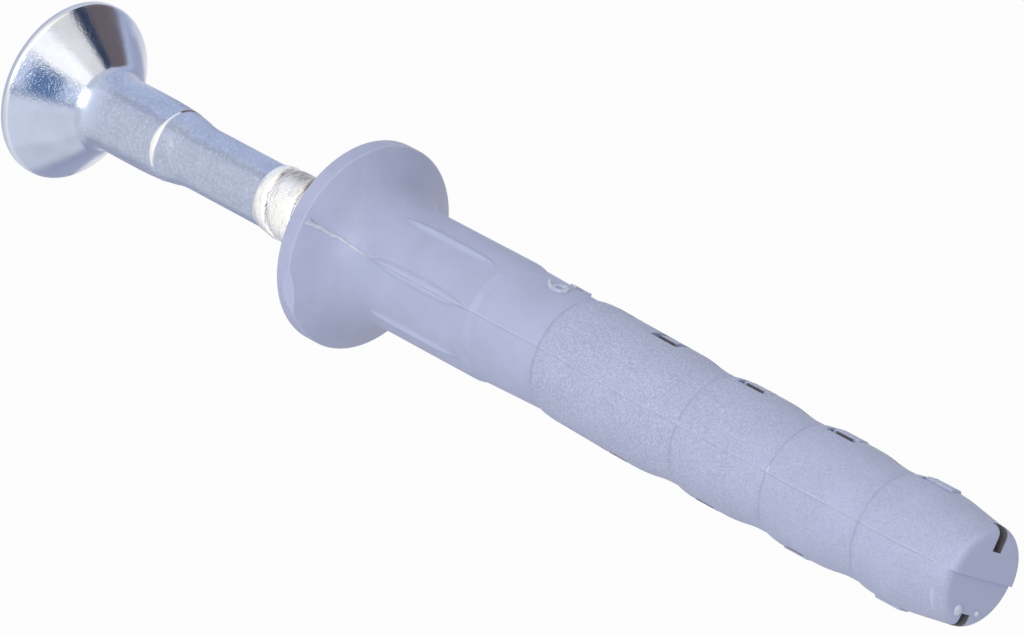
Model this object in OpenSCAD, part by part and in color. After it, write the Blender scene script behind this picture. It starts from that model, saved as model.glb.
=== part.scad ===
// Hammer fixing plug: a slit expansion sleeve with a flared collar, and the
// nail screw that is hammered into it. The plug stands on the nail's flat head, as
// it would roll if it lay, with its axis along Z and its tip up. The mould's parting
// plane is X = 0. All sizes are in millimetres.

/* [Sleeve zones, from the collar to the tip] */
// Height of the collar, from its top face to the neck
collar_h = 2.2; // [1.8:0.1:5]
// Length of the ribbed neck
neck_l = 8.1; // [6:0.1:20]
// Length of the plain stretch between the neck and the barbs
plain_l = 4.45; // [2:0.05:40]
// Length of the first, long barb
first_barb_l = 8.95; // [7.5:0.05:16]
// Length of each of the next barbs
barb_pitch = 5.57; // [4.5:0.01:9]
// How many barbs stand between the first one and the tip
middle_barbs = 2; // [1:1:5]
// Length of the last barb, which ends in the tip
tip_l = 5.45; // [4.6:0.05:9]

/* [Sleeve diameters] */
// Outer diameter of the neck, which is the size of the drilled hole
neck_d = 6; // [5.4:0.1:8]
// How far the plain stretch stands back from the neck
neck_step = 0.11; // [0.05:0.01:0.3]
// How far the first barb's crest stands back from the neck
barb_relief = 0.07; // [0:0.01:0.15]
// How much lower each later barb's crest is
barb_fall = 0.04; // [0:0.01:0.08]
// Depth of the groove in front of each barb
barb_depth = 0.15; // [0.08:0.01:0.3]
// Length of the round shoulder at the start of a barb
shoulder_l = 0.9; // [0.4:0.1:1.5]
// Length of the slope at the end of a barb
slope_l = 2.1; // [1:0.1:2.4]
// Length of the flat bottom between that slope and the next barb
valley_l = 0.8; // [0.2:0.1:1.2]
// Diameter of the tip at its end face
tip_d = 4.66; // [4:0.02:5.4]
// Length of the tip's taper
tip_taper_l = 3.1; // [1.5:0.1:3.4]
// Radius of the edge round the end face
tip_edge = 0.4; // [0.1:0.05:0.6]
// How far one mould half's end face stands back from the other's
end_step = 0.16; // [0.05:0.01:0.2]

/* [Collar] */
// Wall of the collar outside the nail's head
collar_lip = 0.46; // [0.3:0.02:1.5]
// Thickness of the collar's rim
rim_h = 0.6; // [0.4:0.05:1.2]
// Length of the fillet between the collar and the neck
collar_fillet = 1.3; // [0.3:0.1:1.6]

/* [Neck ribs] */
// Number of ribs on each half of the neck
ribs = 3; // [1:2:5]
// Angle between two ribs
rib_angle = 45; // [20:1:45]
// Length of a rib
rib_l = 5.6; // [3:0.1:5.8]
// Distance from a rib's end to the end of the neck
rib_end = 0.5; // [0.4:0.1:1.2]
// How far a rib stands out of the neck
rib_h = 0.15; // [0.05:0.01:0.3]
// Width of a rib where it leaves the neck
rib_w = 0.9; // [0.4:0.05:1.2]

/* [Slits] */
// Width of the slits between the two legs
slit_w = 0.34; // [0.2:0.02:0.5]
// Where the slits begin, from the start of the first barb
slit_start = 2.6; // [1:0.1:3]
// Distance of the slits from the middle plane
slit_y = 0.4; // [0.2:0.05:0.6]
// How far the teeth of one leg reach past the middle plane
tooth_y = 0.7; // [0.3:0.05:0.9]
// Length of a tooth
tooth_l = 1; // [0.6:0.1:1.6]
// Distance from a barb's start to its tooth
tooth_from = 1; // [0.7:0.1:1.6]
// How far the tops of the teeth stand back from the first barb's crest
tooth_relief = 0.01; // [0.01:0.01:0.05]
// Solid width left between the slits at the tip
tip_web = 2.4; // [1.4:0.1:3]

/* [Bore] */
// Gap round the nail's shank and head
shank_gap = 0.08; // [0.03:0.01:0.2]
// Gap round the nail's thread
thread_gap = 0.05; // [0.02:0.01:0.15]
// Diameter of the bore that the nail wedges open
wedge_d = 2.4; // [1.8:0.1:2.8]
// Length of the cone down to that bore
wedge_l = 2.5; // [1.5:0.1:4]
// Wall at the closed tip
tip_wall = 1.4; // [1:0.1:3]

/* [Nail screw] */
// Diameter of the countersunk head
head_d = 9.12; // [7.5:0.02:10]
// Thickness of the head's straight rim
head_rim = 0.25; // [0.2:0.05:0.8]
// Angle of the head's cone
head_angle = 93; // [75:1:100]
// Length of the fillet between the head's cone and the shank
head_fillet = 0.7; // [0.2:0.1:1]
// Diameter of the thick shank under the head
shank_d = 3.84; // [3.6:0.02:4.2]
// Length of the thick shank
shank_l = 4.25; // [3:0.05:6]
// Length of the rounded step below the thick shank
step_l = 2.45; // [0.5:0.05:3]
// Diameter of the thin shank
core_d = 3.15; // [2.8:0.05:3.4]
// Length of the thin shank above the thread
core_l = 5.25; // [3:0.05:10]
// Outer diameter of the thread
thread_d = 3.5; // [3.42:0.02:3.8]
// Length of the thread's run-in
thread_in = 0.9; // [0.5:0.1:2]
// Length of the point
point_l = 3.5; // [2:0.1:5]
// Depth of the point in the wedge cone as supplied
point_entry = 2.05; // [0.5:0.05:2.2]
// Room left below the point when the nail is driven home
point_room = 0.3; // [0.1:0.1:1]

/* [Cross recess] */
// Width across the recess at the head's face
recess_d = 4.5; // [3.5:0.1:5]
// Width of the recess's wings
recess_w = 1.2; // [0.8:0.1:1.5]
// Depth of the recess
recess_depth = 2.3; // [1.5:0.1:2.5]

/* [Hidden] */
$fn = 96;

SLEEVE_COLOUR = [0.66, 0.69, 0.80];
NAIL_COLOUR = [0.72, 0.75, 0.80];
CURVE_STEPS = 5;
OUT = 1; // how far a cutter runs past the face that it opens

neck_r = neck_d / 2;
plain_r = neck_r - neck_step;
tip_r = tip_d / 2;
head_r = head_d / 2;
shank_r = shank_d / 2;
core_r = core_d / 2;
thread_r = thread_d / 2;

// Depths below the collar's top face
neck_end = collar_h + neck_l;
barbs_start = neck_end + plain_l;
sleeve_l = barbs_start + first_barb_l + middle_barbs * barb_pitch + tip_l;
bore_end = sleeve_l - tip_wall;
last_barb = middle_barbs + 1;

function barb_start(i) = i == 0 ? barbs_start : barbs_start + first_barb_l + (i - 1) * barb_pitch;
function crest_r(i) = neck_r - barb_relief - i * barb_fall;
function groove_r(i) = crest_r(i) - barb_depth;

// The head sits flush in the collar when the nail is driven home
head_h = head_rim + (head_r - shank_r) / tan(head_angle / 2);
seat_r = head_r + shank_gap;
collar_r = seat_r + collar_lip;
shank_bore_r = shank_r + shank_gap;
thread_bore_r = thread_r + thread_gap;
wedge_r = wedge_d / 2;
shank_end = head_h + shank_l + step_l;
wedge_start = barbs_start + 1;

nail_l = bore_end - point_room;
nail_out = nail_l - wedge_start - point_entry;
thread_start = shank_end + core_l;

// A smooth bend from a to c, drawn towards the corner b
function bend(a, b, c) = [for (i = [0 : CURVE_STEPS])
    let (t = i / CURVE_STEPS) (1 - t) * (1 - t) * a + 2 * t * (1 - t) * b + t * t * c];

// The point that lies a given length from a towards b
function along(a, b, length) = a + (b - a) * length / norm(b - a);

// The round shoulder at the start of a barb
function shoulder(i) = [for (s = [0 : CURVE_STEPS]) let (a = 90 * s / CURVE_STEPS)
    [groove_r(i) + barb_depth * sin(a), barb_start(i) + shoulder_l * (1 - cos(a))]];

// One barb up to the groove of the next, which is lower and further on
function barb(i) = concat(shoulder(i),
    let (foot = barb_start(i + 1) - valley_l)
    bend([crest_r(i), foot - slope_l], [crest_r(i), foot - slope_l / 2], [groove_r(i + 1), foot]));

// The last barb tapers to the flat end face
function tip() =
    let (crest = [crest_r(last_barb), sleeve_l - tip_taper_l], corner = [tip_r, sleeve_l])
    concat(shoulder(last_barb), [crest],
        bend(along(corner, crest, tip_edge), corner, corner - [tip_edge, 0]));

// Half section of the collar, from its top face down to the neck
function collar() =
    let (rim = [collar_r, rim_h], foot = [neck_r, collar_h])
    concat([[collar_r, 0], rim],
        bend(along(foot, rim, collar_fillet), foot, foot + [0, collar_fillet]));

// The head's cone with its fillet, for the head itself and for the seat in the collar
function head_cone(rim_r, foot_r) =
    let (rim = [rim_r, head_rim], foot = [foot_r, head_h])
    concat([rim], bend(along(foot, rim, head_fillet), foot, foot + [0, head_fillet]));

module sleeve_body() {
    middle = [for (i = [0 : middle_barbs]) each barb(i)];
    neck = [[neck_r, neck_end], [plain_r, neck_end + neck_step * 2]];
    rotate_extrude() polygon(concat([[0, 0]], collar(), neck, middle, tip(), [[0, sleeve_l]]));
}

// Lens-shaped ribs that stop the neck turning in its hole
module neck_ribs() {
    lens_r = (rib_h * rib_h + rib_w * rib_w / 4) / (2 * rib_h);
    bulge_r = min(lens_r, rib_w);
    sink = bulge_r - rib_h;
    half_l = rib_l / 2 / sqrt(rib_h / bulge_r);
    side = [for (i = [0 : 2 * CURVE_STEPS]) let (t = i / CURVE_STEPS - 1) [bulge_r * (1 - t * t), half_l * t]];
    for (half = [90, 270], i = [0 : ribs - 1])
        rotate([0, 0, half + (i - (ribs - 1) / 2) * rib_angle])
            translate([neck_r - sink, 0, neck_end - rib_end - rib_l / 2])
                rotate_extrude($fn = 32) polygon(side);
}

// The bore, with a countersunk mouth for the head and a cone that the nail wedges open
module bore() {
    rotate_extrude() polygon(concat(
        [[0, -OUT], [seat_r, -OUT]], head_cone(seat_r, shank_bore_r),
        [[shank_bore_r, shank_end],
         [thread_bore_r, shank_end + shank_bore_r - thread_bore_r],
         [thread_bore_r, wedge_start], [wedge_r, wedge_start + wedge_l],
         [wedge_r, bore_end - wedge_r / 2], [0, bore_end]]));
}

// Barb starts that carry a tooth: the long first barb is counted as two
function tooth_z(i) = sleeve_l - tip_l - i * barb_pitch + tooth_from;
teeth = [for (i = [middle_barbs + 1 : -1 : 0]) tooth_z(i)];

module slit_box(from_x, from_y, from_z, to_y, to_z)
    translate([from_x, from_y - slit_w / 2, from_z])
        cube([neck_r + OUT - from_x, to_y - from_y + slit_w, to_z - from_z]);

// One slit. It steps round the teeth of the far leg, so that the legs interlock.
module slit() {
    starts = concat([barbs_start + slit_start], [for (z = teeth) z + tooth_l + slit_w]);
    ends = concat([for (z = teeth) z], [bore_end]);
    deep = wedge_r / 4;
    for (i = [0 : len(starts) - 1])
        slit_box(deep, slit_y, starts[i] - slit_w, slit_y, ends[i]);
    for (z = teeth) {
        slit_box(deep, -tooth_y, z - slit_w, -tooth_y, z + tooth_l + slit_w);
        slit_box(deep, -tooth_y, z - slit_w, slit_y, z);
        slit_box(deep, -tooth_y, z + tooth_l, slit_y, z + tooth_l + slit_w);
    }
    slit_box(tip_web / 2, slit_y, bore_end - OUT, slit_y, sleeve_l + OUT);
}

// The teeth all reach the same radius, so they stand out of the later, lower barbs
module teeth_lugs() {
    root_r = wedge_r + (neck_r - wedge_r) / 2;
    high_r = crest_r(0) - tooth_relief;
    for (i = [1 : len(teeth) - 1]) {
        z = teeth[i];
        low_r = crest_r(i) - barb_depth / 2;
        intersection() {
            rotate_extrude() polygon([[root_r, z], [low_r, z], [high_r, z + tooth_l], [root_r, z + tooth_l]]);
            translate([0, -tooth_y + slit_w / 2, z - OUT])
                cube([neck_r + OUT, tooth_y + slit_y, tooth_l + 2 * OUT]);
        }
    }
}

// The half of the end face that stands back
module end_cut()
    translate([0, -neck_r - OUT, sleeve_l - end_step])
        cube([neck_r + OUT, neck_d + 2 * OUT, OUT]);

// Both halves of the mould make the same slit, so they mirror across the parting plane
module both_sides() {
    children();
    mirror([1, 0, 0]) children();
}

module expansion_sleeve() {
    color(SLEEVE_COLOUR) translate([0, 0, nail_out]) difference() {
        union() {
            sleeve_body();
            neck_ribs();
            both_sides() teeth_lugs();
        }
        bore();
        both_sides() slit();
        end_cut();
    }
}

// Tapered cross recess in the head's face
module cross_recess() {
    core = recess_w * 0.9;
    intersection() {
        translate([0, 0, -OUT])
            cylinder(r1 = recess_d / 2 + OUT / 2, r2 = recess_w / 2, h = recess_depth + OUT);
        for (a = [0, 90])
            rotate([0, 0, a])
                translate([-head_r, -recess_w / 2, -OUT]) cube([head_d, recess_w, recess_depth + 2 * OUT]);
    }
    translate([0, 0, -OUT]) cylinder(r1 = core + OUT / 4, r2 = recess_w / 2, h = recess_depth + OUT);
}

// The nail's own Z axis starts at the head's face. The threaded stretch is its outer cylinder.
module nail_screw() {
    point_start = nail_l - point_l;
    fall = shank_r - core_r;
    step_top = head_h + shank_l;
    waist = [shank_r - fall / 2, step_top + step_l / 2];
    step = concat(bend([shank_r, step_top], [shank_r, step_top + step_l / 4], waist),
        bend(waist, [core_r, shank_end - step_l / 4], [core_r, shank_end]));
    profile = concat(
        [[0, 0], [head_r, 0]], head_cone(head_r, shank_r), step,
        [[core_r, thread_start], [thread_r, thread_start + thread_in],
         [thread_r, point_start], [0, nail_l]]);
    color(NAIL_COLOUR) difference() {
        rotate_extrude() polygon(profile);
        cross_recess();
    }
}

expansion_sleeve();
nail_screw();
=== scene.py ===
"""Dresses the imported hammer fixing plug: a moulded expansion sleeve and the nail screw in it.

The plug stands on the nail's head with its axis along Z. Depths along the plug are counted in
millimetres from the collar's face towards the tip, so the nail's head has a negative depth.
"""

import math

import bpy
from mathutils import Matrix, Vector


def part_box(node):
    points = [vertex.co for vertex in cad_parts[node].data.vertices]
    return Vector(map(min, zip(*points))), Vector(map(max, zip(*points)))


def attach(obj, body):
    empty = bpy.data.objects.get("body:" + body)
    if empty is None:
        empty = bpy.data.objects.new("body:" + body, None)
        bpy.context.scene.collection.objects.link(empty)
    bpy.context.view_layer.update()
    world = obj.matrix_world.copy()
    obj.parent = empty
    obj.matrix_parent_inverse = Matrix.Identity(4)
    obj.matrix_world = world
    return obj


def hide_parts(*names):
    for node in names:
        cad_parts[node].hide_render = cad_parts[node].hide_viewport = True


bl_info = {
    "name": "Hammer fixing plug",
    "version": (1, 0, 0),
    "blender": (4, 5, 0),
    "location": "View3D > Sidebar > Fixing",
    "description": "Models the sleeve and the nail screw of a hammer fixing plug, and their studio",
    "category": "Object",
}

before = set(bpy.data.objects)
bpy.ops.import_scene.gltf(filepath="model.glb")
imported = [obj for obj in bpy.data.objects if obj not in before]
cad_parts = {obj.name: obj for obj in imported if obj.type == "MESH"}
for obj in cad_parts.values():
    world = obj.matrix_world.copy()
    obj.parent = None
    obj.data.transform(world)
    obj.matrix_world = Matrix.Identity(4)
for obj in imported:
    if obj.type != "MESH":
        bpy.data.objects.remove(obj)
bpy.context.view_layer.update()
SLEEVE_LOW, SLEEVE_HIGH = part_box("expansion_sleeve")
NAIL_LOW, NAIL_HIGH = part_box("nail_screw")

MM = 0.001
WELD = 0.0005 * MM
ROUND_STEPS = 192
THREAD_STEPS = 96
BEND_STEPS = 10
FLOOR_SIZE = 4.0
CARD_FAR = 0.3
CARD_TALL = 0.16
FACE_Z = SLEEVE_LOW.z

# In millimetres: S is a depth, R a radius, Y a place across a slit and L a length
SLEEVE_L = (SLEEVE_HIGH.z - SLEEVE_LOW.z) / MM
COLLAR_R = min(-SLEEVE_LOW.x, SLEEVE_HIGH.x, -SLEEVE_LOW.y, SLEEVE_HIGH.y) / MM
COLLAR_FILLET = 1.3
HEAD_R = min(-NAIL_LOW.x, NAIL_HIGH.x, -NAIL_LOW.y, NAIL_HIGH.y) / MM
HEAD_S = (NAIL_LOW.z - FACE_Z) / MM
STEP_S = HEAD_S + 7.205
BRINK_S = STEP_S + 0.845
THREAD_S = -5.72
POINT_S = (NAIL_HIGH.z - FACE_Z) / MM
LEGS_S = 20.0
SLIT_Y = 0.4
SLIT_END_S = 38.3
JOG_S = 15.75
JOG_L = 1.0
JOG_Y = 0.22
TOOTH_L = 1.0
TOOTH_REACH_Y = (-0.7, -0.7, -0.7, -0.5)
PAD_R = 2.63
NOTCH_S = 39.7
NOTCH_Y = -0.03
NOTCH_HALF = 0.3
NOTCH_R = {-1: 1.3, 1: 1.72}

# In degrees
GATE_TURN = -37.5
CONE_HALF = 44.0


# Small geometry helpers, in millimetres


def spot(s, r, turn=0.0):
    """The place at depth s and radius r, turned in degrees from the parting line towards -X."""
    a = math.radians(turn)
    return Vector((-r * math.sin(a) * MM, -r * math.cos(a) * MM, FACE_Z + s * MM))


def bend(a, b, c, steps=BEND_STEPS):
    """A smooth bend of (s, r) points from a to c, drawn towards the corner b."""
    points = []
    for i in range(steps + 1):
        t = i / steps
        k = ((1 - t) ** 2, 2 * t * (1 - t), t * t)
        points.append(tuple(k[0] * p + k[1] * q + k[2] * o for p, q, o in zip(a, b, c)))
    return points


def rounded(before, corner, after, size):
    """A corner of an outline, rounded off over a length on both sides."""
    start = Vector(corner) + (Vector(before) - Vector(corner)).normalized() * size
    end = Vector(corner) + (Vector(after) - Vector(corner)).normalized() * size
    return bend(tuple(start), corner, tuple(end))


# Modelling helpers


def clear_selection():
    """Goes to object mode with nothing selected."""
    if bpy.context.mode != "OBJECT":
        bpy.ops.object.mode_set(mode="OBJECT")
    bpy.ops.object.select_all(action="DESELECT")


def make_active(piece):
    """Selects one object alone."""
    clear_selection()
    piece.select_set(True)
    bpy.context.view_layer.objects.active = piece


def edit(piece, mode="VERT"):
    """Opens one object in edit mode with nothing selected."""
    make_active(piece)
    bpy.ops.object.mode_set(mode="EDIT")
    bpy.ops.mesh.select_mode(type=mode)
    bpy.ops.mesh.select_all(action="DESELECT")


def finish_edit():
    """Leaves edit mode."""
    bpy.ops.object.mode_set(mode="OBJECT")


def apply_transform():
    """Puts the active object's place, turn and size into its mesh."""
    bpy.ops.object.transform_apply(location=True, rotation=True, scale=True)


def select_all():
    """Selects the whole mesh, in edit mode."""
    bpy.ops.mesh.select_all(action="SELECT")


def resize_new(place, size):
    """Resizes the object that was just added about its own middle."""
    piece = bpy.context.object
    apply_transform()
    bpy.ops.object.mode_set(mode="EDIT")
    select_all()
    bpy.ops.transform.resize(value=size, center_override=place)
    finish_edit()
    return piece


def add_box(place, size):
    """A box round a place, with its size in millimetres."""
    clear_selection()
    bpy.ops.mesh.primitive_cube_add(size=MM, location=place)
    return resize_new(place, size)


def select_faces(piece, wanted):
    """Selects the faces for which wanted says yes, and stays in edit mode."""
    edit(piece, "FACE")
    finish_edit()
    for face in piece.data.polygons:
        face.select = wanted(face)
    bpy.ops.object.mode_set(mode="EDIT")


def select_edges(piece, wanted):
    """Selects the edges whose two ends satisfy wanted, and stays in edit mode."""
    edit(piece, "EDGE")
    finish_edit()
    points = piece.data.vertices
    for line in piece.data.edges:
        line.select = wanted(points[line.vertices[0]].co, points[line.vertices[1]].co)
    bpy.ops.object.mode_set(mode="EDIT")


def trace(name, points):
    """Draws a chain of edges by extruding one vertex from point to point."""
    clear_selection()
    bpy.ops.mesh.primitive_plane_add(size=MM, location=points[0])
    piece = bpy.context.object
    piece.name = name
    piece.data.name = name
    apply_transform()
    bpy.ops.object.mode_set(mode="EDIT")
    bpy.ops.mesh.select_mode(type="VERT")
    select_all()
    bpy.ops.mesh.merge(type="CENTER")
    for here, there in zip(points, points[1:]):
        bpy.ops.mesh.extrude_vertices_move(TRANSFORM_OT_translate={"value": there - here})
    return piece


def close_up():
    """Merges doubles and turns all faces outwards, in edit mode."""
    select_all()
    bpy.ops.mesh.remove_doubles(threshold=WELD)
    bpy.ops.mesh.normals_make_consistent(inside=False)


def lathe(name, outline, steps=ROUND_STEPS, centre=(0, 0, 0)):
    """Spins a half section of (s, r) points round an upright axis."""
    points = [spot(s, r) for s, r in outline]
    piece = trace(name, points)
    select_all()
    bpy.ops.mesh.spin(steps=steps, angle=2 * math.pi, center=centre, axis=(0, 0, 1))
    close_up()
    finish_edit()
    return piece


def prism(name, outline, push):
    """A block from a flat outline of places, pushed out along a vector."""
    piece = trace(name, outline)
    select_all()
    bpy.ops.mesh.edge_face_add()
    bpy.ops.mesh.extrude_region_move(TRANSFORM_OT_translate={"value": push})
    close_up()
    finish_edit()
    return piece


def cut(piece, tool):
    """Takes one shape out of another and removes the tool."""
    make_active(piece)
    knife = piece.modifiers.new("cut", "BOOLEAN")
    knife.operation = "DIFFERENCE"
    knife.solver = "EXACT"
    knife.object = tool
    bpy.ops.object.modifier_apply(modifier=knife.name)
    bpy.data.objects.remove(tool)


def join(name, parts):
    """Joins objects into one."""
    clear_selection()
    for part in parts:
        part.select_set(True)
    bpy.context.view_layer.objects.active = parts[0]
    bpy.ops.object.join()
    whole = bpy.context.object
    whole.name = name
    whole.data.name = name
    return whole


def copy_turned(piece, degrees):
    """A copy with its own mesh, turned round the plug's axis."""
    make_active(piece)
    bpy.ops.object.duplicate()
    twin = bpy.context.object
    twin.data = twin.data.copy()
    twin.matrix_world = Matrix.Rotation(math.radians(degrees), 4, "Z") @ twin.matrix_world
    apply_transform()
    return twin


def dress(piece, body, material, sharp=30):
    """Shades a finished piece, gives it its material and puts it on its body."""
    make_active(piece)
    bpy.ops.object.shade_smooth_by_angle(angle=math.radians(sharp))
    piece.data.materials.clear()
    piece.data.materials.append(material)
    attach(piece, body)


def look_of(name):
    """The material of a finished piece."""
    return bpy.data.objects[name].data.materials[0]


# Shader helpers


class Wire:
    """A shader socket; arithmetic on it adds Math nodes."""

    def __init__(self, tree, socket):
        self.tree = tree
        self.socket = socket

    def node(self, kind, settings=None, inputs=None, output=0):
        """Adds a node: its settings first, then the values or wires of its sockets."""
        made = self.tree.nodes.new(kind)
        for name, value in (settings or {}).items():
            setattr(made, name, value)
        for name, value in (inputs or {}).items():
            if isinstance(value, Wire):
                self.tree.links.new(value.socket, made.inputs[name])
            else:
                made.inputs[name].default_value = value
        return Wire(self.tree, made.outputs[output] if made.outputs else None)

    def maths(self, operation, first, second=0.0):
        return self.node("ShaderNodeMath", {"operation": operation}, {0: first, 1: second})

    def __add__(self, other):
        return self.maths("ADD", self, other)

    def __radd__(self, other):
        return self.maths("ADD", other, self)

    def __sub__(self, other):
        return self.maths("SUBTRACT", self, other)

    def __rsub__(self, other):
        return self.maths("SUBTRACT", other, self)

    def __mul__(self, other):
        return self.maths("MULTIPLY", self, other)

    def __rmul__(self, other):
        return self.maths("MULTIPLY", other, self)

    def __abs__(self):
        return self.maths("ABSOLUTE", self)

    def ease(self, low, high, at_low=0.0, at_high=1.0):
        """A smooth step between two values."""
        ends = {"From Min": low, "From Max": high, "To Min": at_low, "To Max": at_high}
        return self.node(
            "ShaderNodeMapRange", {"interpolation_type": "SMOOTHSTEP"}, {"Value": self, **ends}
        )

    def band(self, low, full, last, high):
        """One between full and last, falling smoothly to zero at low and at high."""
        return self.ease(low, full) * (1 - self.ease(last, high))

    def near(self, middle, inside, outside):
        """One within a distance of a value, falling smoothly to zero outside it."""
        return 1 - abs(self - middle).ease(inside, outside)


def mix_colours(mask, first, second):
    """A colour between two, by a mask."""
    inputs = {"Factor": mask, 6: first, 7: second}
    return mask.node("ShaderNodeMix", {"data_type": "RGBA"}, inputs, output=2)


def painted(ground, *layers):
    """A ground colour with others painted over it, each given by its mask and its colour."""
    for mask, shade in layers:
        ground = mix_colours(mask, ground, shade)
    return ground


def blank_material(name):
    """A material without nodes, and the wire to build on."""
    material = bpy.data.materials.new(name)
    material.use_nodes = True
    material.node_tree.nodes.clear()
    return material, Wire(material.node_tree, None)


def show(shader, kind="ShaderNodeOutputMaterial"):
    """Makes a shader the surface of its material or its world."""
    shader.node(kind, None, {"Surface": shader})


def new_material(name):
    """A material, the wire to build on, and its Principled shader."""
    material, start = blank_material(name)
    shader = start.node("ShaderNodeBsdfPrincipled")
    show(shader)
    return material, start, shader.socket.node


def feed(shader, name, wire):
    """Joins a wire to one of the shader's sockets."""
    wire.tree.links.new(wire.socket, shader.inputs[name])


def places(start):
    """Object coordinates in millimetres: a vector, its x, y and depth, and the radius."""
    raw = start.node("ShaderNodeTexCoord", output=3)
    where = start.node("ShaderNodeVectorMath", {"operation": "SCALE"}, {0: raw, "Scale": 1 / MM})
    x, y, z = (start.node("ShaderNodeSeparateXYZ", None, {0: where}, output=i) for i in range(3))
    return where, x, y, z - FACE_Z / MM, start.maths("SQRT", x * x + y * y)


def noise(start, where, scale, detail=2.0, roughness=0.5):
    """Noise between 0 and 1 with a grain of about 1 / scale millimetres."""
    return start.node(
        "ShaderNodeTexNoise",
        None,
        {"Vector": where, "Scale": scale, "Detail": detail, "Roughness": roughness},
    )


def stretched(start, where, factors):
    """Coordinates scaled by a different factor on each axis."""
    return start.node("ShaderNodeVectorMath", {"operation": "MULTIPLY"}, {0: where, 1: factors})


def relief(start, height, depth_mm, below=None):
    """A normal from a height of 0 to 1 that stands for a depth in millimetres."""
    inputs = {"Height": height, "Distance": depth_mm * MM, "Strength": 1.0}
    if below is not None:
        inputs["Normal"] = below
    return start.node("ShaderNodeBump", None, inputs)


def tone(shade, factor):
    """A colour made lighter or darker, with its alpha."""
    return tuple(min(1.0, c * factor) for c in shade) + (1.0,)


def lifted(shade, share, white):
    """A share of a colour with white added to it, with its alpha."""
    return tuple(share * c + white for c in shade) + (1.0,)


# Settings


def length(name, description, millimetres):
    """A length property with its default in millimetres."""
    return bpy.props.FloatProperty(
        name=name, description=description, default=millimetres * MM, unit="LENGTH", precision=6
    )


def colour(name, description, value):
    """A colour property."""
    return bpy.props.FloatVectorProperty(
        name=name, description=description, default=value, subtype="COLOR", min=0, max=1
    )


def angle(name, description, degrees):
    """An angle property with its default in degrees."""
    return bpy.props.FloatProperty(
        name=name, description=description, default=math.radians(degrees), subtype="ANGLE"
    )


def number(name, description, value, unit="NONE"):
    """A plain number property."""
    return bpy.props.FloatProperty(name=name, description=description, default=value, unit=unit)


class FixingSleeve(bpy.types.PropertyGroup):
    """Sizes and colours of the moulded sleeve"""

    rim: length("Rim", "Thickness of the collar's rim", 0.8)
    collar: length("Collar", "Height of the collar, down to the neck", 2.2)
    neck_radius: length("Neck radius", "Radius of the neck", 3.0)
    neck_end: length("Neck end", "Depth of the end of the neck", 10.3)
    first_barb: length("First barb", "Depth at which the first barb starts", 14.75)
    second_barb: length("Second barb", "Depth at which the second barb starts", 23.7)
    pitch: length("Pitch", "Length of the later barbs", 5.57)
    crest: length("Crest", "Radius of the first barb's crest", 2.93)
    groove: length("Groove", "Depth of the groove in front of a barb", 0.15)
    slit: length("Slit", "Width of the slits", 0.34)
    rib: length("Rib", "How far the neck's ribs stand out", 0.2)
    end_step: length("End step", "How far one half of the end face stands back", 0.16)
    lean: length("Lean", "How far the slit legs lean to one side", 0.11)
    plastic: colour("Plastic", "Colour of the moulding", (0.43, 0.468, 0.655))


class FixingNail(bpy.types.PropertyGroup):
    """Sizes and colours of the nail screw"""

    rim: length("Rim", "Thickness of the head's straight rim", 0.3)
    shank_radius: length("Shank radius", "Radius of the thick shank", 1.92)
    core_radius: length("Core radius", "Radius of the thin shank", 1.575)
    thread_radius: length("Thread radius", "Radius of the thread's crest", 1.75)
    pitch: length("Pitch", "How far the thread rises in a turn", 1.75)
    recess: length("Recess", "Width across the cross recess", 4.5)
    steel: colour("Steel", "Colour of the plated steel", (0.46, 0.51, 0.64))


class FixingStudio(bpy.types.PropertyGroup):
    """Camera, light and floor"""

    azimuth: angle("Azimuth", "Where the camera stands round the plug", -7.3)
    elevation: angle("Elevation", "How far the camera looks down", 39.0)
    lean: angle("Lean", "How far the plug's axis leans below the picture's width", 28.11)
    distance: length("Distance", "From the camera to the plug", 300.0)
    aim: length("Aim", "Depth on the plug that the camera looks at", 10.56)
    drop: length("Drop", "How far that depth lies below the picture's middle", 0.304)
    lens: number("Lens", "Focal length in millimetres on a 36 mm sensor", 229.9)
    key: number("Key", "Power of the key light", 1.05, "POWER")
    sky: number("Sky", "Strength of the light from all round", 0.56)
    paper: colour("Paper", "Colour of the floor", (0.92, 0.92, 0.93))
    dark: colour("Dark card", "Colour of the card that darkens the head's cone", (0.26, 0.20, 0.19))
    blue: colour("Blue card", "Colour of the card beside the camera", (0.11, 0.22, 0.44))


# Sleeve


def groove_radius(sizes, i):
    """Radius of the groove in front of a barb; later barbs are a little lower."""
    return sizes.crest / MM - sizes.groove / MM - 0.04 * i


def barb_starts(sizes):
    """Depths at which the four barbs start."""
    first, second, pitch = sizes.first_barb / MM, sizes.second_barb / MM, sizes.pitch / MM
    return [first, second, second + pitch, second + 2 * pitch]


def shoulder(sizes, i, start):
    """The round shoulder of a barb, from its groove to its crest."""
    low = groove_radius(sizes, i)
    rise = sizes.groove / MM
    points = [(start - 0.14, low), (start - 0.06, low - 0.03), (start - 0.005, low - 0.03)]
    for step in range(BEND_STEPS + 1):
        a = math.pi / 2 * step / BEND_STEPS
        points.append((start + 1.1 * (1 - math.cos(a)), low + rise * math.sin(a)))
    return points


def collar_line(sizes):
    """The collar's outline from the rim's edge down to the neck."""
    edge, foot = (sizes.rim / MM, COLLAR_R), (sizes.collar / MM, sizes.neck_radius / MM)
    return [edge] + rounded(edge, foot, (foot[0] + 1, foot[1]), COLLAR_FILLET)


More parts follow.
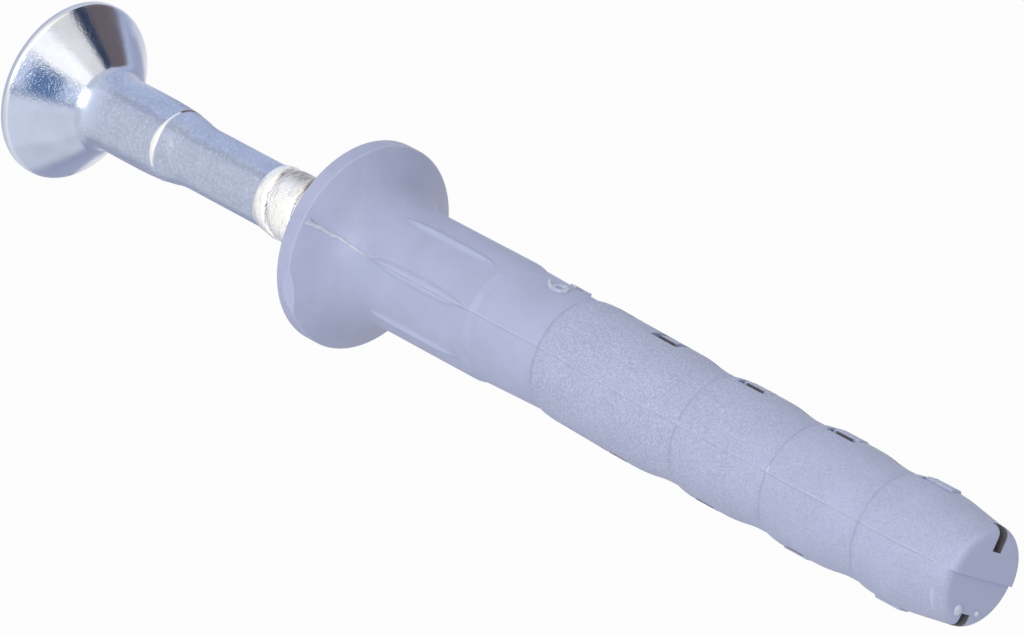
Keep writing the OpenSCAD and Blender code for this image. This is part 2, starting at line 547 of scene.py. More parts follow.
def sleeve_outside(sizes):
    """The sleeve's outline from the collar's face to the middle of its end face."""
    edge, foot = (sizes.rim / MM, COLLAR_R), (sizes.collar / MM, sizes.neck_radius / MM)
    outline = [(0.0, COLLAR_R - 0.42)]
    outline += rounded((0.0, COLLAR_R - 0.4), (0.0, COLLAR_R), edge, 0.09)
    outline += rounded((0.0, COLLAR_R), edge, foot, 0.03)
    outline += collar_line(sizes)[1:]
    neck_end = sizes.neck_end / MM
    neck, plain = (neck_end, foot[1]), (neck_end + 0.36, foot[1] - 0.11)
    outline += rounded(foot, neck, plain, 0.12)
    outline += rounded(neck, plain, (plain[0] + 1, plain[1]), 0.12)
    starts = barb_starts(sizes)
    for i, start in enumerate(starts[:-1]):
        crest = groove_radius(sizes, i) + sizes.groove / MM
        after = starts[i + 1]
        low = groove_radius(sizes, i + 1)
        outline += shoulder(sizes, i, start)
        waist = (after - 1.75, (crest + low) / 2)
        outline += bend((after - 2.9, crest), (after - 2.3, crest), waist, 6)
        outline += bend(waist, (after - 1.2, low), (after - 0.6, low), 6)[1:]
    outline += shoulder(sizes, 3, starts[3])
    crest = groove_radius(sizes, 3) + sizes.groove / MM
    end = SLEEVE_L - sizes.end_step / MM
    fold, corner = (end - 2.95, crest), (end, 2.34)
    outline += rounded((end - 4, crest), fold, corner, 0.7)
    outline += rounded(fold, corner, (end, 1.0), 0.42)
    outline += [(end, 1.4), (end, 0.7), (end, 0.0)]
    return outline


def sleeve_inside():
    """The bore's outline from its closed end to the countersunk mouth."""
    seat = COLLAR_R - 0.46
    return [
        (38.89, 0.0), (38.29, 1.2), (18.25, 1.2), (15.75, 1.8), (9.65, 1.8), (9.45, 2.0),
        (3.45, 2.0), (2.9, 2.07), (2.27, 2.51), (0.25, seat), (0.06, seat), (0.0, seat + 0.05),
    ]


def slit_path(sizes):
    """Corners of a slit as it steps round the teeth, as depth and place across."""
    half = sizes.slit / MM / 2
    path = [(JOG_S, JOG_Y), (JOG_S + JOG_L, JOG_Y), (JOG_S + JOG_L, SLIT_Y)]
    for tooth, reach in zip(tooth_starts(sizes), TOOTH_REACH_Y):
        path += [(tooth - half, SLIT_Y), (tooth - half, reach)]
        path += [(tooth + TOOTH_L + half, reach), (tooth + TOOTH_L + half, SLIT_Y)]
    return path + [(SLIT_END_S, SLIT_Y)]


def tooth_starts(sizes):
    """Depths of the teeth; the long first barb is counted as two."""
    last = barb_starts(sizes)[3] + 1.0
    return [last - i * sizes.pitch / MM for i in (3, 2, 1, 0)]


def ribbon(path, half):
    """Both edges of a band along a path with square corners, as one outline."""
    sides = ([], [])
    for i, here in enumerate(path):
        lines = []
        for a, b in ((i - 1, i), (i, i + 1)):
            if a >= 0 and b < len(path):
                d = (Vector(path[b]) - Vector(path[a])).normalized()
                lines.append(Vector((-d.y, d.x)))
        across = lines[0] if len(lines) == 1 else lines[0] + lines[1]
        sides[0].append(Vector(here) + across * half)
        sides[1].append(Vector(here) - across * half)
    return sides[0] + sides[1][::-1]


def slit_cutters(sizes, side):
    """The two blocks that cut one slit: through to the bore, and a notch in the closed tip."""
    inside, outside, past_end = 0.3, 4.0, 41.0

    def block(name, outline, low, high):
        base = [Vector((side * low * MM, y * MM, FACE_Z + s * MM)) for s, y in outline]
        return prism(name, base + base[:1], Vector((side * (high - low) * MM, 0, 0)))

    left, right = NOTCH_Y - NOTCH_HALF, NOTCH_Y + NOTCH_HALF
    notch = [(NOTCH_S, left), (past_end, left), (past_end, right), (NOTCH_S, right)]
    slit = ribbon(slit_path(sizes), sizes.slit / MM / 2)
    return [
        block("slit_through", slit, inside, outside),
        block("slit_tip", notch, NOTCH_R[side], outside),
    ]


def lean_legs(piece, sizes):
    """Lets the slit legs lean to one side, as plastic does when it cools."""
    edit(piece)
    finish_edit()
    start = spot(LEGS_S, 0).z
    for point in piece.data.vertices:
        point.select = point.co.z > start
    bpy.ops.object.mode_set(mode="EDIT")
    bpy.ops.transform.translate(
        value=(sizes.lean, 0, 0), use_proportional_edit=True, proportional_size=5 * MM
    )
    finish_edit()


def gate_line(sizes):
    """Where the flat that the gate left starts on the rim and ends on the cone, as (s, r)."""
    rim = sizes.rim / MM
    return Vector((rim - 0.37, COLLAR_R)), Vector((rim + 0.15, COLLAR_R - 0.23))


def gate_normal(sizes):
    """The direction in which that flat looks."""
    start, end = gate_line(sizes)
    across = Vector((start.y - end.y, end.x - start.x)).normalized()
    return (spot(across.x, across.y, GATE_TURN) - spot(0, 0)).normalized()


def gate_cutter(sizes):
    """The block that cuts the gate's flat."""
    start, end = gate_line(sizes)
    run = (end - start).normalized()
    across = Vector((-run.y, run.x))
    corners = [start - run, end + run, end + run + across, start - run + across]
    side = spot(0, 1, GATE_TURN + 90) - spot(0, 0)
    outline = [spot(s, r, GATE_TURN) - side * 2 for s, r in corners]
    return prism("gate_cutter", outline + outline[:1], side * 4)


class FIXING_OT_sleeve(bpy.types.Operator):
    """Spin the sleeve, raise one half of its end face and cut the slits"""

    bl_idname = "fixing.sleeve"
    bl_label = "Sleeve"

    def execute(self, context):
        sizes = context.scene.fixing_sleeve
        sleeve = lathe("sleeve_moulding", sleeve_inside() + sleeve_outside(sizes))
        proud = FACE_Z + (SLEEVE_L - sizes.end_step / MM - 0.45) * MM
        select_faces(sleeve, lambda face: face.center.z > proud and face.center.x < 0)
        step = Vector((0, 0, sizes.end_step))
        bpy.ops.mesh.extrude_region_move(TRANSFORM_OT_translate={"value": step})
        close_up()
        finish_edit()
        for side in (-1, 1):
            for cutter in slit_cutters(sizes, side):
                cut(sleeve, cutter)
        cut(sleeve, gate_cutter(sizes))
        lean_legs(sleeve, sizes)
        gate = gate_normal(sizes)
        select_faces(sleeve, lambda face: face.normal.dot(gate) > 0.9999)
        bpy.ops.mesh.region_to_loop()
        bpy.ops.mesh.mark_sharp()
        finish_edit()
        dress(sleeve, "sleeve", sleeve_plastic(sizes))
        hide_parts("expansion_sleeve")
        return {"FINISHED"}


class FIXING_OT_ribs(bpy.types.Operator):
    """Model one lens-shaped rib and copy it round the neck"""

    bl_idname = "fixing.ribs"
    bl_label = "Neck ribs"

    def execute(self, context):
        sizes = context.scene.fixing_sleeve
        tall, middle, half_l, steps = 0.42, 6.9, 3.9, 32
        inner = sizes.neck_radius / MM + sizes.rib / MM - tall
        lens = []
        for i in range(steps + 1):
            t = 2 * i / steps - 1
            lens.append((middle + half_l * t, inner + tall * (1 - t ** 4)))
        centre = spot(middle, inner)
        rib = lathe("neck_ribs", lens, 4, centre)
        edit(rib)
        select_all()
        bpy.ops.transform.resize(value=(1.6, 1, 1), center_override=centre)
        finish_edit()
        crest = -(inner + 0.02) * MM
        select_edges(rib, lambda a, b: max(a.y, b.y) < crest and abs(a.x) + abs(b.x) < 1e-6)
        bpy.ops.mesh.bevel(offset=0.05 * MM, segments=2, affect="EDGES")
        finish_edit()
        turns = (49, -49, 131, 180, -131)
        ribs = join("neck_ribs", [rib] + [copy_turned(rib, turn) for turn in turns])
        dress(ribs, "sleeve", look_of("sleeve_moulding"), 40)
        return {"FINISHED"}


class FIXING_OT_teeth(bpy.types.Operator):
    """Model the pads on the slits' teeth"""

    bl_idname = "fixing.teeth"
    bl_label = "Teeth"

    def execute(self, context):
        sizes = context.scene.fixing_sleeve
        size, taper = (0.52, 0.96, 1.74), (1, 0.8, 0.86)
        pads = []
        for side in (-1, 1):
            for tooth in tooth_starts(sizes)[1:]:
                middle = FACE_Z + (tooth + TOOTH_L / 2) * MM
                pad = add_box((side * PAD_R * MM, -0.02 * MM, middle), size)
                select_faces(pad, lambda face: abs(face.center.x) > (PAD_R + 0.12) * MM)
                bpy.ops.transform.resize(value=taper)
                select_all()
                bpy.ops.mesh.bevel(offset=0.08 * MM, segments=3, affect="EDGES")
                finish_edit()
                pads.append(pad)
        teeth = join("slit_teeth", pads)
        lean_legs(teeth, sizes)
        dress(teeth, "sleeve", look_of("sleeve_moulding"), 50)
        return {"FINISHED"}


def along(points, share):
    """The place at a share of the way along a chain of points."""
    runs = [(Vector(b) - Vector(a)).length for a, b in zip(points, points[1:])]
    left = share * sum(runs)
    for a, b, run in zip(points, points[1:], runs):
        if left <= run:
            return Vector(a).lerp(Vector(b), left / run)
        left -= run
    return Vector(points[-1])


class FIXING_OT_flash(bpy.types.Operator):
    """Draw the wavy flash that the mould left down the collar"""

    bl_idname = "fixing.flash"
    bl_label = "Flash"

    def execute(self, context):
        sizes = context.scene.fixing_sleeve
        line, width, steps = [], [], 80
        waves = ((0.035, 8.3, 0.4), (0.025, 21, 0.0), (0.01, 47, 0.0))
        slope = collar_line(sizes)
        for i in range(steps + 1):
            t = i / steps
            s, r = along(slope, 0.06 + 0.92 * t)
            wave = sum(height * math.sin(rate * t + shift) for height, rate, shift in waves)
            sideways = 0.4 * (1 - t) ** 1.2 - wave * (1 - t) ** 0.5
            line.append(spot(s, r + 0.02 * (1 - t), math.degrees(sideways / r)))
            width.append(1.6 - 1.0 * t + 0.9 * max(0.0, 1 - 11 * t) + 0.12 * math.sin(33 * t))
        flash = trace("parting_flash", line)
        finish_edit()
        make_active(flash)
        bpy.ops.object.convert(target="CURVE")
        flash = bpy.context.object
        flash.data.bevel_depth = 0.08 * MM
        flash.data.bevel_resolution = 3
        flash.data.use_fill_caps = True
        for point, wide in zip(flash.data.splines[0].points, width):
            point.radius = wide
        bpy.ops.object.convert(target="MESH")
        flash = bpy.context.object
        edit(flash)
        close_up()
        finish_edit()
        dress(flash, "sleeve", thin_plastic(sizes), 60)
        return {"FINISHED"}


def burr(place, size):
    """A small blob of plastic, with its half sizes in millimetres."""
    clear_selection()
    bpy.ops.mesh.primitive_uv_sphere_add(segments=20, ring_count=10, radius=MM, location=place)
    return resize_new(place, size)


class FIXING_OT_burrs(bpy.types.Operator):
    """Model the burrs where the parting line crosses the barbs and on the end face"""

    bl_idname = "fixing.burrs"
    bl_label = "Burrs"

    def execute(self, context):
        sizes = context.scene.fixing_sleeve
        lean = Vector((sizes.lean, 0, 0))
        starts = barb_starts(sizes)
        end = SLEEVE_L - sizes.end_step / MM
        blobs = [
            burr(spot(starts[1] + 0.05, groove_radius(sizes, 1), 1.5) + lean, (0.14, 0.07, 0.06)),
            burr(spot(starts[2] + 0.05, groove_radius(sizes, 2), 3) + lean, (0.22, 0.1, 0.08)),
            burr(spot(end, 1.76, -66) + lean, (0.27, 0.24, 0.15)),
            burr(spot(end, 1.7, -113) + lean, (0.15, 0.14, 0.14)),
        ]
        burrs = join("moulding_burrs", blobs)
        dress(burrs, "sleeve", look_of("parting_flash"), 60)
        return {"FINISHED"}


class FIXING_OT_number(bpy.types.Operator):
    """Raise plain numbers on the stretch between neck and barbs"""

    bl_idname = "fixing.number"
    bl_label = "Size number"

    def execute(self, context):
        digits = []
        for text, turn in (("6", 67), ("4", 98), ("0", 124)):
            clear_selection()
            bpy.ops.object.text_add()
            digit = bpy.context.object
            digit.data.body = text
            digit.data.size = 1.95 * MM
            digit.data.extrude = 0.1 * MM
            digit.data.offset = -0.035 * MM
            digit.data.bevel_depth = 0.025 * MM
            digit.data.bevel_resolution = 2
            digit.data.align_x = "CENTER"
            digit.data.align_y = "CENTER"
            bpy.ops.object.convert(target="MESH")
            digit = bpy.context.object
            outward = (spot(0, 1, turn) - spot(0, 0)).normalized()
            upward = Vector((0, 0, -1))
            across = upward.cross(outward)
            digit.matrix_world = Matrix.Translation(spot(13.05, 2.8, turn)) @ Matrix(
                (across, upward, outward)
            ).transposed().to_4x4()
            apply_transform()
            digits.append(digit)
        number = join("size_number", digits)
        edit(number)
        close_up()
        finish_edit()
        dress(number, "sleeve", look_of("parting_flash"), 40)
        return {"FINISHED"}


def sleeve_plastic(sizes):
    """Matte moulded plastic: smooth at the collar, spark-eroded on the barbs, with a seam."""
    material, start, shader = new_material("moulded_plastic")
    where, x, y, depth, radius = places(start)
    base = tuple(sizes.plastic)
    pale = lifted(base, 0.8, 0.19)
    cloud = noise(start, where, 0.55, 3.0)
    fleck = noise(start, where, 11.0, 2.0, 0.6)
    broken = noise(start, where, 1.4, 2.0).ease(0.35, 0.6)
    eroded = depth.ease(14.75, 14.95) * depth.ease(20.0, 34.0, 1.0, 0.5)
    ground = painted(
        mix_colours(cloud.ease(0.35, 0.65), tone(base, 0.97), tone(base, 1.03)),
        (fleck.ease(0.49, 0.63) * (0.12 + 0.88 * eroded), pale),
        ((1 - fleck.ease(0.34, 0.5)) * (0.12 + 0.7 * eroded), tone(base, 0.85)),
    )

    # Painted shade at the foot of the ribs, painted highlights on their crests, and a painted
    # highlight on the step at the neck's end
    neck = depth.band(3.5, 3.7, 10.1, 10.25)
    at_step = depth.band(10.25, 10.4, 10.6, 10.85) * broken
    ground = painted(
        ground,
        (radius.band(3.003, 3.01, 3.04, 3.08) * neck * 0.42, tone(base, 0.86)),
        (radius.ease(3.05, 3.12) * neck, tone(base, 1.1)),
        (at_step * 0.8, tone(base, 1.07)),
    )

    # Seam of the mould, with a painted highlight on one side and painted shade on the other; it
    # leans with the legs
    seam = x - sizes.lean / MM * depth.ease(15.85, 20.8)
    below = depth.band(3.2, 3.8, 39.1, 39.4)
    clear = below * (1 - 0.35 * eroded)
    ground = painted(
        ground,
        (seam.band(-0.1, -0.05, -0.02, 0.0) * clear * (0.4 + 0.5 * broken), pale),
        (seam.band(-0.01, 0.015, 0.04, 0.075) * clear * (0.3 + 0.35 * broken), tone(base, 0.76)),
    )

    # Shade in the grooves, the slits' windows and jog, and the notches of the tip
    for place in barb_starts(sizes):
        ring = depth.near(place, 0.04, 0.15) * (0.35 + 0.3 * broken)
        ground = mix_colours(ring, ground, tone(base, 0.82))
    half = sizes.slit / MM / 2
    outside = abs(x).ease(1.3, 1.5)
    for tooth in tooth_starts(sizes)[:3]:
        wall = y.near(TOOTH_REACH_Y[0] + half, 0.006, 0.02)
        wall = wall * depth.near(tooth + TOOTH_L / 2, 0.66, 0.7) * outside
        ground = mix_colours(wall, ground, (0.1, 0.095, 0.11, 1.0))
    jog = y.near(JOG_Y, half + 0.001, half + 0.004) * depth.near(JOG_S + 0.55, 0.6, 0.62)
    left, right = NOTCH_R[-1], NOTCH_R[1]
    notch = (0 - seam).ease(left - 0.02, left - 0.01) + seam.ease(right - 0.02, right - 0.01)
    notch = notch * y.near(NOTCH_Y, NOTCH_HALF + 0.003, NOTCH_HALF + 0.006)
    notch = notch * depth.ease(NOTCH_S - 0.02, NOTCH_S - 0.01)
    # Painted light: the end face is painted lighter, leaving out the notches
    face = depth.ease(39.95, 40.1) * (1 - notch)
    ground = painted(
        ground,
        (jog * outside, tone(base, 0.35)),
        (face, tone(base, 1.08)),
        (notch, (0.15, 0.145, 0.165, 1.0)),
    )

    # Painted highlights along the rim's edge, on the gate's flat and along the rounded end of the
    # lower half
    edge = depth.near(sizes.rim / MM, 0.015, 0.05) * radius.ease(4.98, 5.05)
    normal = gate_normal(sizes)
    level = normal.dot(spot(*gate_line(sizes)[0], GATE_TURN)) / MM
    ends = {0: where, 1: normal}
    beside = start.node("ShaderNodeVectorMath", {"operation": "DOT_PRODUCT"}, ends, output=1)
    gate = beside.near(level, 0.004, 0.012) * radius.ease(4.6, 4.7)
    painted_end_highlight = depth.near(39.47, 0.04, 0.12) * seam.near(1.55, 0.3, 0.6) * (1 - y.ease(-1.0, -0.6))
    ground = painted(ground, (edge * 0.8, pale), (gate, tone(base, 1.14)), (painted_end_highlight, pale))
    feed(shader, "Base Color", ground)
    feed(shader, "Roughness", 0.47 + 0.1 * eroded + 0.1 * (cloud - 0.5))

    # Soft ripples, the eroded grain and the step at the seam
    soft = relief(start, noise(start, where, 1.1, 2.0), 0.03)
    grain = noise(start, where, 8.0, 2.0, 0.6) * (0.2 + 0.8 * eroded)
    rough = relief(start, grain, 0.035, soft)
    feed(shader, "Normal", relief(start, seam.ease(-0.018, 0.018) * below, 0.014, rough))
    return material


def thin_plastic(sizes):
    """The same plastic for flash and burrs, painted paler: a painted highlight in place of light
    through thin plastic.
    """
    material, start, shader = new_material("thin_plastic")
    where = places(start)[0]
    base = tuple(sizes.plastic)
    patchy = noise(start, where, 3.0, 3.0)
    dimmer, pale = lifted(base, 0.75, 0.2), lifted(base, 0.55, 0.42)
    feed(shader, "Base Color", mix_colours(patchy.ease(0.35, 0.65), dimmer, pale))
    feed(shader, "Roughness", 0.4 + 0.15 * patchy)
    feed(shader, "Normal", relief(start, noise(start, where, 6.0), 0.01))
    return material


# Nail


def nail_outline(sizes):
    """The nail's outline from the middle of its head to its point."""
    shank, core = sizes.shank_radius / MM, sizes.core_radius / MM
    rim = (HEAD_S + sizes.rim / MM, HEAD_R)
    foot = (rim[0] + (HEAD_R - shank) / math.tan(math.radians(CONE_HALF)), shank)
    outline = [(HEAD_S, 0.0), (HEAD_S, 2.6), (HEAD_S, HEAD_R - 0.2)]
    outline += rounded((HEAD_S, 0.0), (HEAD_S, HEAD_R), rim, 0.08)
    outline += rounded((HEAD_S, HEAD_R), rim, foot, 0.1)
    for i in range(1, 6):
        t = i / 7
        outline.append(tuple(a + (b - a) * t for a, b in zip(rim, foot)))
    outline += rounded(rim, foot, (foot[0] + 1, shank), 0.55)
    brink, ledge = (STEP_S + 0.85, shank - 0.085), (STEP_S + 0.94, shank - 0.12)
    at_step = (STEP_S, shank - 0.03)
    outline += [(STEP_S - 0.7, shank - 0.008), at_step]
    outline += rounded(at_step, brink, ledge, 0.04)
    middle = (STEP_S + 1.65, shank - 0.22)
    outline += bend(ledge, (STEP_S + 1.2, shank - 0.14), middle)
    outline += bend(middle, (STEP_S + 2.1, core + 0.005), (STEP_S + 2.7, core))[1:]
    return outline + [(POINT_S - 3.5, core), (POINT_S, 0.0)]


def recess_cutter(sizes):
    """A tapered cross with square wings and a round core."""
    wide, thick, tall = sizes.recess / MM + 0.5, 1.2, 3.0
    narrow, even = 0.32, 0.95
    top = spot(HEAD_S + 2, 0).z
    wings = []
    for size, taper in (
        ((wide, thick, tall), (narrow, even, 1)),
        ((thick, wide, tall), (even, narrow, 1)),
    ):
        wing = add_box(spot(HEAD_S + 0.7, 0), size)
        select_faces(wing, lambda face: face.center.z > top)
        bpy.ops.transform.resize(value=taper)
        finish_edit()
        wings.append(wing)
    core = lathe("recess_core", [
        (HEAD_S - 0.5, 0.0), (HEAD_S - 0.5, 1.3), (HEAD_S + 2.15, 0.72), (HEAD_S + 2.5, 0.0)
    ], 32)
    return wings + [core]


class FIXING_OT_nail(bpy.types.Operator):
    """Spin the nail's head and shank and cut its cross recess"""

    bl_idname = "fixing.nail"
    bl_label = "Nail"

    def execute(self, context):
        sizes = context.scene.fixing_nail
        nail = lathe("nail_shank", nail_outline(sizes))
        for cutter in recess_cutter(sizes):
            cut(nail, cutter)
        dress(nail, "nail", plated_steel(sizes))
        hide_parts("nail_screw")
        return {"FINISHED"}


class FIXING_OT_thread(bpy.types.Operator):
    """Wind the nail's rolled thread with its run-in"""

    bl_idname = "fixing.thread"
    bl_label = "Thread"

    def execute(self, context):
        sizes = context.scene.fixing_nail
        core, top, pitch = sizes.core_radius / MM, sizes.thread_radius / MM, sizes.pitch / MM
        first = -8.2
        turns = int((POINT_S - 2.6 - first) / pitch)
        shape = [(0.02, core - 0.2), (0.04, core - 0.02), (0.09, top - 0.08), (0.14, top - 0.02)]
        shape += [(0.22, top), (0.78, top), (0.86, top - 0.02), (0.91, top - 0.08)]
        shape += [(0.96, core - 0.02), (0.98, core - 0.2)]
        section = [spot(first + s * pitch, r) for s, r in shape]
        thread = trace("nail_thread", section + section[:1])
        close_up()
        finish_edit()
        make_active(thread)
        wind = thread.modifiers.new("wind", "SCREW")
        wind.axis = "Z"
        wind.angle = 2 * math.pi
        wind.screw_offset = pitch * MM
        wind.iterations = turns
        wind.steps = THREAD_STEPS
        wind.render_steps = THREAD_STEPS
        wind.use_merge_vertices = False
        bpy.ops.object.modifier_apply(modifier=wind.name)
        end = first + turns * pitch
        for point in thread.data.vertices:
            s = (point.co.z - FACE_Z) / MM
            run_in = min(1.0, max(0.0, (s - THREAD_S) / 0.28))
            run_out = min(1.0, max(0.0, (end - s) / (1.5 * pitch)))
            fade = (0.86 + 0.14 * run_in ** 0.5) * (0.72 + 0.28 * run_out)
            point.co.x *= fade
            point.co.y *= fade
        edit(thread)
        bpy.ops.mesh.select_non_manifold()
        bpy.ops.mesh.fill()
        close_up()
        finish_edit()
        dress(thread, "nail", look_of("nail_shank"), 60)
        return {"FINISHED"}


def plated_steel(sizes):
    """Zinc-plated steel: a satin, mottled shank, a polished cone and scratched thread crests."""
    material, start, shader = new_material("zinc_plate")
    where, x, y, depth, radius = places(start)
    base = tuple(sizes.steel)
    turn = start.maths("ARCTAN2", 0 - x, 0 - y)
    cloud = noise(start, where, 0.7, 3.0)
    mottle = noise(start, where, 6.5, 3.0, 0.65)
    fine = noise(start, where, 12.5, 2.0, 0.6)
    head = 1 - depth.ease(-18.05, -17.45)

    # Satin shank: dark drawn streaks with a painted dark reflection along one side, a mottled
    # plating, and a painted highlight on the foot's front
    satin = (1 - head) * 0.7
    streaks = noise(start, stretched(start, where, (1.3, 1.3, 0.12)), 1.0, 2.0)
    wander = turn + 0.3 * (cloud - 0.5)
    streaks_and_reflection = (1 - streaks.ease(0.3, 0.45)) * 0.5 + wander.near(0.52, 0.03, 0.16)
    foot = depth.band(-17.95, -17.6, -17.3, -16.3) * turn.near(0.0, 0.3, 0.9)
    ground = painted(
        mix_colours(cloud.ease(0.3, 0.7), tone(base, 0.95), tone(base, 1.05)),
        (streaks_and_reflection * satin, tone(base, 0.76)),
        (mottle.ease(0.5, 0.7) * satin, tone(base, 1.3)),
        ((1 - mottle.ease(0.32, 0.48)) * satin, tone(base, 0.82)),
        (foot * 0.75, tone(base, 1.32)),
    )

    # Frosted patch on the head's cone with painted glints; painted shade and a painted highlight
    # ring at the shank's step; a painted highlight along the head's rim
    frosted = head * turn.band(-0.3, -0.1, 0.26, 0.36) * (1 - radius.ease(4.42, 4.52))
    light = fine.ease(0.5, 0.66) * frosted * (0.5 + 0.2 * abs(radius - 3.3).ease(0.3, 1.2))
    painted_step_shade = depth.near(BRINK_S, 0.04, 0.1) * turn.band(1.0, 1.1, 1.5, 1.7)
    thick = 0.025 + 0.125 * turn.near(-0.05, 0.0, 0.8)
    ring = (1 - (abs(depth - BRINK_S) - thick).ease(0.0, 0.05)) * turn.near(0.12, 0.85, 1.0)
    lit = 0.3 + 0.55 * turn.band(-0.45, -0.1, 0.5, 0.9)
    rim = depth.near(HEAD_S + sizes.rim / MM + 0.03, 0.05, 0.13) * radius.ease(4.3, 4.45) * lit
    ground = painted(
        ground,
        (light, (0.9, 0.92, 0.96, 1.0)),
        (painted_step_shade, (0.15, 0.12, 0.1, 1.0)),
        ((ring + rim) * 0.95, (0.93, 0.92, 0.92, 1.0)),
    )

    # Thread: bare and scratched on its crests, with painted shade on one side, darker in its
    # grooves
    crest = depth.ease(THREAD_S - 0.03, THREAD_S + 0.1)
    scratch = noise(start, stretched(start, where, (1.0, 1.0, 9.0)), 1.7, 4.0, 0.7)
    dimmer = turn.band(0.5, 1.2, 1.9, 2.6) * depth.ease(-5.3, -4.6)
    bare = scratch.ease(0.3, 0.46) * (1 - dimmer * (0.3 + 0.7 * scratch.ease(0.62, 0.5)))
    groove = 1 - radius.ease(1.6, 1.66)
    thread = mix_colours(bare, (0.4, 0.35, 0.3, 1.0), (1.0, 0.99, 0.97, 1.0))
    thread = mix_colours(groove * 0.6, thread, (0.6, 0.6, 0.66, 1.0))
    feed(shader, "Base Color", mix_colours(crest, ground, thread))
    shader.inputs["Metallic"].default_value = 1.0
    hazy = frosted * abs(radius - 3.45).ease(0.2, 0.9)
    rough = 0.36 - 0.2 * head - 0.08 * crest + 0.12 * (mottle - 0.5) + 0.16 * hazy
    feed(shader, "Roughness", rough)
    drawn = relief(start, scratch * crest, 0.03)
    bumpy = relief(start, fine * frosted, 0.008, drawn)
    feed(shader, "Normal", relief(start, noise(start, where, 7.0, 3.0, 0.6), 0.007, bumpy))
    return material


# Studio


def heading(azimuth, elevation):
    """A direction by its angle round the plug, from the photo's side, and above the floor."""
    flat = math.cos(elevation)
    return Vector((math.sin(azimuth) * flat, -math.cos(azimuth) * flat, math.sin(elevation)))


def camera_axes(setup):
    """Directions in the picture: right, up and towards the camera."""
    lean = setup.lean
    back = heading(setup.azimuth, setup.elevation)
    along = (Vector((0, 0, 1)) - back * math.sin(setup.elevation)).normalized()
    across = back.cross(along)
    right = along * math.cos(lean) + across * math.sin(lean)
    up = across * math.cos(lean) - along * math.sin(lean)
    return right, up, back


def add_lamp(name, place, target, size, power):
    """A square soft light that looks at a target."""
    clear_selection()
    bpy.ops.object.light_add(type="AREA", location=place)
    lamp = bpy.context.object
    lamp.name = name
    lamp.data.shape = "SQUARE"
    lamp.data.size = size
    lamp.data.energy = power
    lamp.rotation_mode = "QUATERNION"
    lamp.rotation_quaternion = (target - place).to_track_quat("-Z", "Y")
    return lamp


def mirrored(turn, view):
    """Where the head's cone mirrors a view from the camera's side, at a turn round it."""
    half = math.radians(CONE_HALF)
    outward = (spot(0, 1, turn) - spot(0, 0)).normalized()
    normal = outward * math.cos(half) + Vector((0, 0, math.sin(half)))
    return 2 * normal.dot(view) * normal - view


def add_card(name, turns, view, shade, strength):
    """A card placed so that the head mirrors it between two turns."""
    first, last = (mirrored(turn, view) * CARD_FAR for turn in turns)
    middle = (first + last) / 2
    upward = middle.cross(last - first).normalized() * CARD_TALL / 2
    corners = [first - upward, first + upward, last + upward, last - upward]
    raise_card(name, corners, shade, strength)


def lay_card(name, low, high, shade, lift=0.05):
    """A card that lies on the floor, between two corners in millimetres."""
    corners = [low, (high[0], low[1]), high, (low[0], high[1])]
    raise_card(name, [Vector((x, y, lift)) * MM for x, y in corners], shade, 1.0)


def raise_card(name, corners, shade, strength):
    """A card that only the metal sees."""
    card = trace(name, corners + corners[:1])
    select_all()
    bpy.ops.mesh.remove_doubles(threshold=WELD)
    bpy.ops.mesh.edge_face_add()
    finish_edit()
    material, start = blank_material(name)
    inputs = {"Color": tone(shade, 1.0), "Strength": strength}
    show(start.node("ShaderNodeEmission", None, inputs))
    card.data.materials.append(material)
    card.visible_camera = False
    card.visible_diffuse = False
    card.visible_shadow = False
    card.visible_transmission = False


def seen_background(start):
    """One where the camera, a gloss or glass looks straight at the background."""
    camera, glossy, through = (start.node("ShaderNodeLightPath", output=i) for i in (0, 3, 6))
    return start.maths("MINIMUM", camera + glossy + through, 1.0)


def paper_material(shade):
    """White paper that the camera sees almost white, with a trace of shadow."""
    material, start = blank_material("paper")
    seen = seen_background(start)
    matte = start.node("ShaderNodeBsdfDiffuse", None, {"Color": tone(shade, 1.0)})
    white = start.node("ShaderNodeEmission", None, {"Color": (1, 1, 1, 1), "Strength": 1.0})
    show(start.node("ShaderNodeMixShader", None, {0: seen * 0.95, 1: matte, 2: white}))
    return material


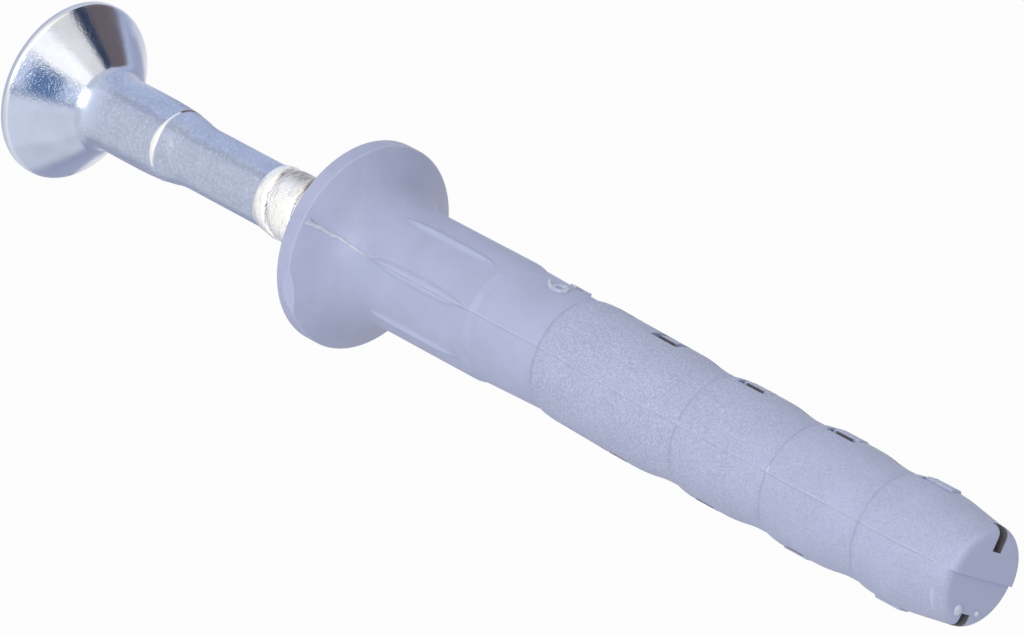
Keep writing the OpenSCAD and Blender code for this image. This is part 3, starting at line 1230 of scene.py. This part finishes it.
class FIXING_OT_studio(bpy.types.Operator):
    """Lay the floor and place the lights and the camera"""

    bl_idname = "fixing.studio"
    bl_label = "Studio"

    def execute(self, context):
        setup = context.scene.fixing_studio
        right, up, back = camera_axes(setup)
        aim = Vector((0, 0, FACE_Z + setup.aim)) + up * setup.drop
        clear_selection()
        bpy.ops.mesh.primitive_plane_add(size=FLOOR_SIZE)
        floor = context.object
        floor.name = "paper_floor"
        floor.data.materials.append(paper_material(setup.paper))
        bpy.ops.object.camera_add(location=aim + back * setup.distance)
        camera = context.object
        camera.name = "photo_camera"
        camera.data.sensor_width = 36.0
        camera.data.lens = setup.lens
        camera.data.clip_start = 0.01
        camera.rotation_mode = "QUATERNION"
        camera.rotation_quaternion = Matrix((right, up, back)).transposed().to_quaternion()
        context.scene.camera = camera
        key_place = aim + heading(math.radians(-1), math.radians(15)) * 0.5
        key = add_lamp("key", key_place, aim, 0.26, setup.key)
        key.data.color = (1.0, 0.99, 0.965)
        warm = (1.0, 0.92, 0.78)
        add_card("white_card", (15, 34), back, warm, 2.1)
        add_card("pale_card", (34, 52.5), back, warm, 1.45)
        add_card("low_card", (-14, -52), back, (1.0, 1.0, 1.0), 1.15)
        add_card("navy_card", (52.5, 64), back, (0.02, 0.045, 0.11), 1.0)
        add_card("brown_card", (64, 91), back, tuple(setup.dark), 1.0)
        dusk = (0.54, 0.555, 0.68)
        add_card("dusk_card", (91, 104), back, dusk, 1.0)
        lay_card("dusk_sheet", (-5.2, 5.2), (60, 120), dusk)
        lay_card("dusk_side", (4.2, 0), (12, 5.2), dusk)
        lay_card("dusk_patch", (-9.5, 6), (-5.2, 13.5), dusk, 0.08)
        lay_card("cool_sheet", (-80, -9), (-5.2, 60), (0.77, 0.83, 0.99))
        add_card("blue_card", (-12, 14), back, tuple(setup.blue), 1.0)
        world = bpy.data.worlds.new("studio")
        context.scene.world = world
        world.use_nodes = True
        world.node_tree.nodes.clear()
        start = Wire(world.node_tree, None)
        seen = seen_background(start)
        strength = setup.sky + (1 - setup.sky) * seen
        shade = mix_colours(seen, (0.975, 0.985, 1.04, 1), (1, 1, 1, 1))
        sky = start.node("ShaderNodeBackground", None, {"Color": shade, "Strength": strength})
        show(sky, "ShaderNodeOutputWorld")
        context.scene.view_settings.view_transform = "Standard"
        return {"FINISHED"}


class FIXING_PT_plug(bpy.types.Panel):
    """The steps that make the plug"""

    bl_idname = "FIXING_PT_plug"
    bl_label = "Hammer fixing plug"
    bl_space_type = "VIEW_3D"
    bl_region_type = "UI"
    bl_category = "Fixing"

    def draw(self, context):
        for step in STEPS:
            self.layout.operator(step.bl_idname)
        for name in SETTINGS:
            box = self.layout.box()
            group = getattr(context.scene, name)
            for key in group.__annotations__:
                box.prop(group, key)


SETTINGS = {"fixing_sleeve": FixingSleeve, "fixing_nail": FixingNail, "fixing_studio": FixingStudio}
STEPS = (
    FIXING_OT_studio,
    FIXING_OT_sleeve,
    FIXING_OT_ribs,
    FIXING_OT_teeth,
    FIXING_OT_flash,
    FIXING_OT_burrs,
    FIXING_OT_number,
    FIXING_OT_nail,
    FIXING_OT_thread,
)
CLASSES = (*SETTINGS.values(), *STEPS, FIXING_PT_plug)


def register():
    """Adds the classes and the scene's settings."""
    for kind in CLASSES:
        bpy.utils.register_class(kind)
    for name, kind in SETTINGS.items():
        setattr(bpy.types.Scene, name, bpy.props.PointerProperty(type=kind))


def unregister():
    """Takes them away again."""
    for name in SETTINGS:
        delattr(bpy.types.Scene, name)
    for kind in reversed(CLASSES):
        bpy.utils.unregister_class(kind)


def main():
    """Runs every step in order."""
    register()
    bpy.ops.fixing.studio()
    bpy.ops.fixing.sleeve()
    bpy.ops.fixing.ribs()
    bpy.ops.fixing.teeth()
    bpy.ops.fixing.flash()
    bpy.ops.fixing.burrs()
    bpy.ops.fixing.number()
    bpy.ops.fixing.nail()
    bpy.ops.fixing.thread()
    clear_selection()


if __name__ == "__main__":
    main()
